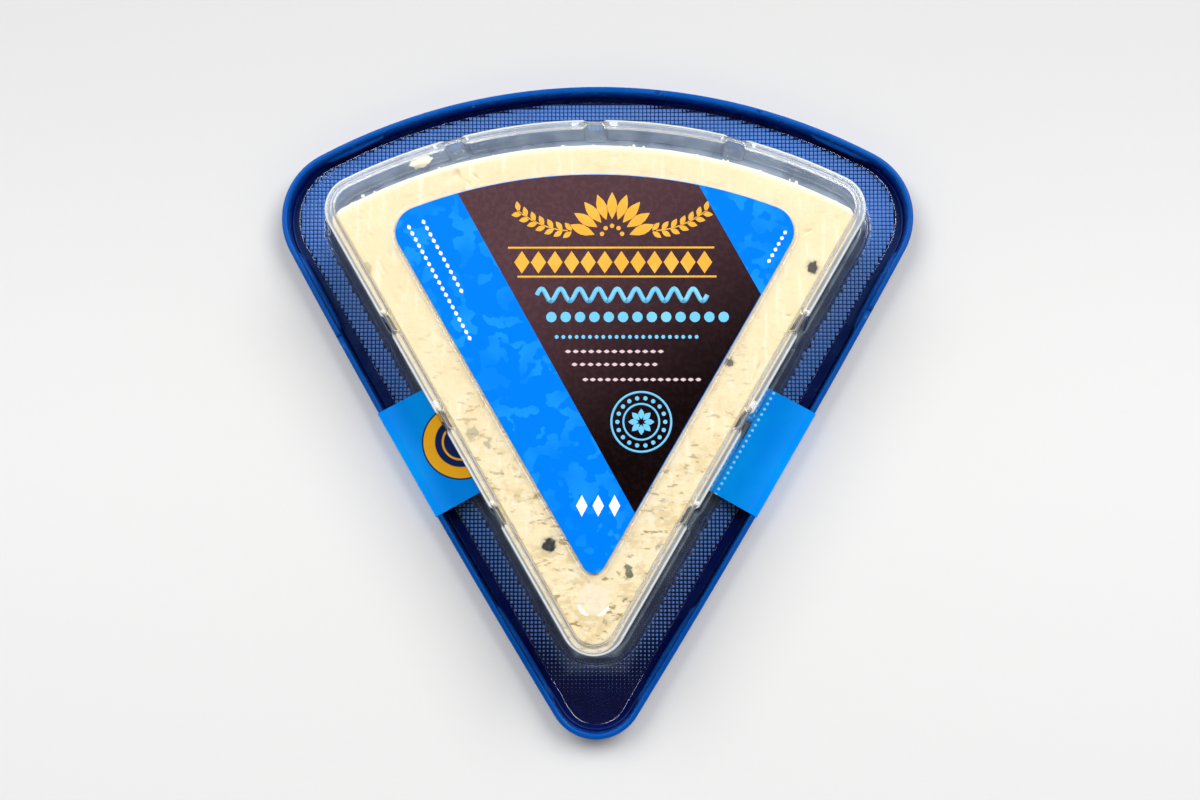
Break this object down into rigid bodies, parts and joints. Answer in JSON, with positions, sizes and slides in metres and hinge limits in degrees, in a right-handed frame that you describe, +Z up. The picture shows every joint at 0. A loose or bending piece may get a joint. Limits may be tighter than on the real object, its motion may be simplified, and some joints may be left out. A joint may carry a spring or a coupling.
{
  "type": "wedge of blue cheese in its closed retail pack",
  "caption": "Wedge of blue-veined cheese under a clear fluted plastic dome, snapped into a shallow blue lid, with a top label and a wrap round its sides.",
  "frame": {"origin": "middle of the pack's box in plan, at the level of the surface it stands on", "axes": "+Z up out of the base, +Y from the wedge's tip towards its arc, +X to the right seen from above"},
  "size_m": [0.1242, 0.1278, 0.0267],
  "materials": {
    "lid": "moulded blue polypropylene, smooth and glossy",
    "film": "thin clear sealing film, smooth",
    "tray": "clear thermoformed plastic sheet, glossy, with a knurled flange",
    "cheese": "cut face of semi-soft blue cheese, moist, with mould in small openings",
    "label": "printed film label, satin",
    "wrap": "printed film strip, satin"
  },
  "bodies": {
    "root": {"lid": "lid", "film": "film", "tray": "tray", "cheese": "cheese", "label": "label", "wrap": "wrap"}
  },
  "joints": []
}
